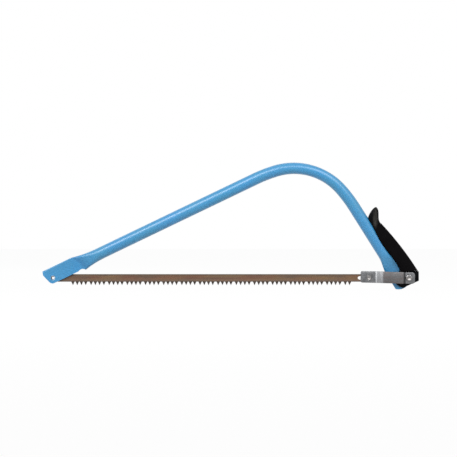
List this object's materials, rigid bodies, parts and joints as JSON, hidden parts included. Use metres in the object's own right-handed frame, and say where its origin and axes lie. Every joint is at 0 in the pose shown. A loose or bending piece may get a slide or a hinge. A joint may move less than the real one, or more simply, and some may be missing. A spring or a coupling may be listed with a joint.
{
  "type": "bow saw",
  "caption": "Bow saw: bent steel tube frame with flattened slotted nose, toothed blade, and an over-centre lever with stamped link plates that tightens the blade.",
  "frame": {"origin": "middle of the saw's length and width, level with its lowest point, the tail of the tube", "axes": "+X from the nose to the lever along the blade, +Y away from the pictured side, +Z from the teeth to the bow"},
  "size_m": [0.6208, 0.0224, 0.2093],
  "materials": {
    "blue_enamel": "gloss enamel over steel tube",
    "blade_steel": "browned spring steel",
    "link_steel": "dull stamped steel",
    "pin_steel": "plain steel",
    "rivet_steel": "bright steel",
    "lever_gloss": "gloss black",
    "grip_matte": "matte black"
  },
  "bodies": {
    "frame": {"frame_tube": "blue_enamel", "nose_pin": "pin_steel", "fulcrum_pin": "pin_steel"},
    "lever": {"lever_core": "lever_gloss", "lever_grip": "grip_matte"},
    "link": {"link_plate_near": "link_steel", "link_plate_far": "link_steel", "blade_peg": "rivet_steel", "link_rivet_near": "rivet_steel", "link_rivet_far": "rivet_steel"},
    "blade": {"saw_blade": "blade_steel"}
  },
  "joints": [
    {"name": "lever_hinge", "type": "hinge", "parent": "frame", "child": "lever", "pos_m": [0.28185, 0, 0.01517], "axis": [0, 1, 0], "range_deg": [0, 95]},
    {"name": "link_hinge", "type": "hinge", "parent": "lever", "child": "link", "pos_m": [0.29423, 0, 0.01895], "axis": [0, 1, 0], "range_deg": [-94, 0]},
    {"name": "blade_hinge", "type": "hinge", "parent": "frame", "child": "blade", "pos_m": [-0.29268, 0, 0.01895], "axis": [0, 1, 0], "range_deg": [0, 1.8]}
  ],
  "couplings": [
    {"joint": "link_hinge", "follows": "lever_hinge", "ratio": -0.9814},
    {"joint": "blade_hinge", "follows": "lever_hinge", "ratio": 0.0186}
  ]
}
